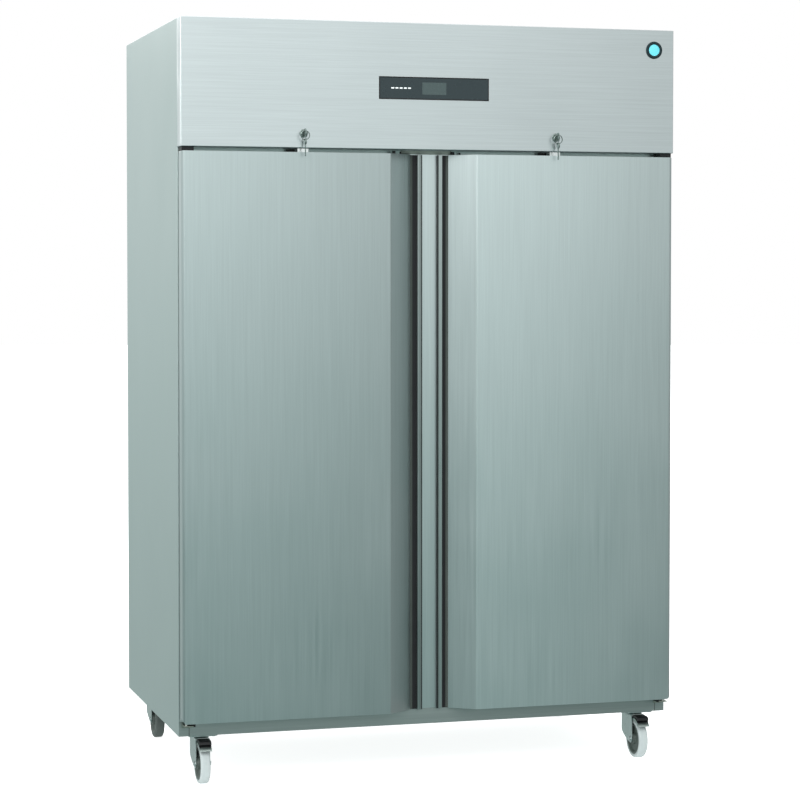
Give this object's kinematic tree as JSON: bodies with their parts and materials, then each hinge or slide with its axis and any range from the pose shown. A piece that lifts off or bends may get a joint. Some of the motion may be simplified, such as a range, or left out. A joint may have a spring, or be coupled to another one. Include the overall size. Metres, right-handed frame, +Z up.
{
  "type": "reach in refrigerator",
  "caption": "Upright stainless steel reach-in refrigerator with two full-height hinged doors, a deep fascia over them, keyed locks and swivel castors.",
  "frame": {"origin": "on the floor, under the middle of the whole object's box", "axes": "+X to the right of a person who faces the doors, +Y to the back, +Z up"},
  "size_m": [1.4, 0.877, 2.057],
  "materials": {
    "brushed_steel": "satin",
    "satin_steel": "satin",
    "bright_steel": "polished",
    "liner_steel": "satin",
    "dark_glass": "gloss",
    "black_plastic": "satin",
    "grey_rubber": "matte",
    "white_nylon": "satin",
    "cyan_enamel": "gloss",
    "aluminium": "satin",
    "black_paint": "satin"
  },
  "bodies": {
    "cabinet": {"side_panel_left": "satin_steel", "side_panel_right": "satin_steel", "floor_panel": "brushed_steel", "centre_mullion": "brushed_steel", "fascia_panel": "brushed_steel", "rear_panel": "liner_steel", "ceiling_panel": "liner_steel", "top_cover": "liner_steel", "shelf_rack_left": "liner_steel", "shelf_rack_right": "liner_steel", "shelf_rack_centre": "liner_steel", "evaporator_cover": "liner_steel", "hinge_bottom_left": "bright_steel", "hinge_bottom_right": "bright_steel", "shelf_left_lower": "bright_steel", "shelf_left_upper": "bright_steel", "shelf_right_lower": "bright_steel", "shelf_right_upper": "bright_steel", "lock_left_sleeve": "bright_steel", "lock_right_sleeve": "bright_steel", "castor_front_left_plate": "bright_steel", "castor_front_right_plate": "bright_steel", "castor_rear_left_plate": "bright_steel", "castor_rear_right_plate": "bright_steel", "control_panel": "dark_glass", "cable_gland": "black_plastic", "hinge_top_left": "black_plastic", "hinge_top_right": "black_plastic", "badge": "cyan_enamel", "condenser": "aluminium", "evaporator": "aluminium", "compressor": "black_paint"},
    "door_left": {"door_left_shell": "brushed_steel", "door_left_liner": "liner_steel", "door_left_gasket": "grey_rubber", "door_left_grip": "black_plastic", "door_left_keeper": "bright_steel"},
    "lock_left": {"lock_left_barrel": "bright_steel", "lock_left_key": "bright_steel"},
    "keys_left": {"lock_left_key_ring": "bright_steel"},
    "door_right": {"door_right_shell": "brushed_steel", "door_right_liner": "liner_steel", "door_right_gasket": "grey_rubber", "door_right_grip": "black_plastic", "door_right_keeper": "bright_steel"},
    "lock_right": {"lock_right_barrel": "bright_steel", "lock_right_key": "bright_steel"},
    "keys_right": {"lock_right_key_ring": "bright_steel"},
    "castor_front_left_swivel": {"castor_front_left_fork": "bright_steel"},
    "castor_front_left_roller": {"castor_front_left_wheel": "white_nylon"},
    "castor_front_right_swivel": {"castor_front_right_fork": "bright_steel"},
    "castor_front_right_roller": {"castor_front_right_wheel": "white_nylon"},
    "castor_rear_left_swivel": {"castor_rear_left_fork": "bright_steel"},
    "castor_rear_left_roller": {"castor_rear_left_wheel": "white_nylon"},
    "castor_rear_right_swivel": {"castor_rear_right_fork": "bright_steel"},
    "castor_rear_right_roller": {"castor_rear_right_wheel": "white_nylon"},
    "castor_front_left_pedal": {"castor_front_left_brake": "bright_steel"},
    "castor_front_right_pedal": {"castor_front_right_brake": "bright_steel"},
    "condenser_rotor": {"condenser_fan": "black_plastic"},
    "evaporator_rotor": {"evaporator_fan": "black_plastic"}
  },
  "joints": [
    {"name": "door_left_hinge", "type": "hinge", "parent": "cabinet", "child": "door_left", "pos_m": [-0.6835, -0.3835, 0.177], "axis": [0, 0, -1], "range_deg": [0, 110], "stiffness_Nm_per_rad": 3, "springref_deg": -40.11},
    {"name": "door_right_hinge", "type": "hinge", "parent": "cabinet", "child": "door_right", "pos_m": [0.6835, -0.3835, 0.177], "axis": [0, 0, 1], "range_deg": [0, 110], "stiffness_Nm_per_rad": 3, "springref_deg": -40.11},
    {"name": "lock_left_turn", "type": "hinge", "parent": "cabinet", "child": "lock_left", "pos_m": [-0.3655, -0.4085, 1.753], "axis": [0, -1, 0], "range_deg": [0, 90]},
    {"name": "keys_left_swing", "type": "hinge", "parent": "lock_left", "child": "keys_left", "pos_m": [-0.3655, -0.4265, 1.7592], "axis": [0, 1, 0], "range_deg": [-30, 30]},
    {"name": "lock_right_turn", "type": "hinge", "parent": "cabinet", "child": "lock_right", "pos_m": [0.3515, -0.4085, 1.753], "axis": [0, -1, 0], "range_deg": [0, 90]},
    {"name": "keys_right_swing", "type": "hinge", "parent": "lock_right", "child": "keys_right", "pos_m": [0.3515, -0.4265, 1.7592], "axis": [0, 1, 0], "range_deg": [-30, 30]},
    {"name": "castor_front_left_swivel_turn", "type": "hinge", "parent": "cabinet", "child": "castor_front_left_swivel", "pos_m": [-0.63, -0.2955, 0.1235], "axis": [0, 0, 1], "continuous": true},
    {"name": "castor_front_left_wheel_spin", "type": "hinge", "parent": "castor_front_left_swivel", "child": "castor_front_left_roller", "pos_m": [-0.63, -0.3255, 0.054], "axis": [1, 0, 0], "continuous": true},
    {"name": "castor_front_left_brake_press", "type": "hinge", "parent": "castor_front_left_swivel", "child": "castor_front_left_pedal", "pos_m": [-0.63, -0.3215, 0.1127], "axis": [1, 0, 0], "range_deg": [0, 10]},
    {"name": "castor_front_right_swivel_turn", "type": "hinge", "parent": "cabinet", "child": "castor_front_right_swivel", "pos_m": [0.63, -0.2955, 0.1235], "axis": [0, 0, 1], "continuous": true},
    {"name": "castor_front_right_wheel_spin", "type": "hinge", "parent": "castor_front_right_swivel", "child": "castor_front_right_roller", "pos_m": [0.63, -0.3255, 0.054], "axis": [1, 0, 0], "continuous": true},
    {"name": "castor_front_right_brake_press", "type": "hinge", "parent": "castor_front_right_swivel", "child": "castor_front_right_pedal", "pos_m": [0.63, -0.3215, 0.1127], "axis": [1, 0, 0], "range_deg": [0, 10]},
    {"name": "castor_rear_left_swivel_turn", "type": "hinge", "parent": "cabinet", "child": "castor_rear_left_swivel", "pos_m": [-0.63, 0.3785, 0.1235], "axis": [0, 0, 1], "continuous": true},
    {"name": "castor_rear_left_wheel_spin", "type": "hinge", "parent": "castor_rear_left_swivel", "child": "castor_rear_left_roller", "pos_m": [-0.63, 0.3485, 0.054], "axis": [1, 0, 0], "continuous": true},
    {"name": "castor_rear_right_swivel_turn", "type": "hinge", "parent": "cabinet", "child": "castor_rear_right_swivel", "pos_m": [0.63, 0.3785, 0.1235], "axis": [0, 0, 1], "continuous": true},
    {"name": "castor_rear_right_wheel_spin", "type": "hinge", "parent": "castor_rear_right_swivel", "child": "castor_rear_right_roller", "pos_m": [0.63, 0.3485, 0.054], "axis": [1, 0, 0], "continuous": true},
    {"name": "condenser_fan_spin", "type": "hinge", "parent": "cabinet", "child": "condenser_rotor", "pos_m": [0.2, -0.0165, 1.8753], "axis": [0, 1, 0], "continuous": true},
    {"name": "evaporator_fan_spin", "type": "hinge", "parent": "cabinet", "child": "evaporator_rotor", "pos_m": [0, 0.0615, 1.5667], "axis": [0, 0, 1], "continuous": true}
  ]
}
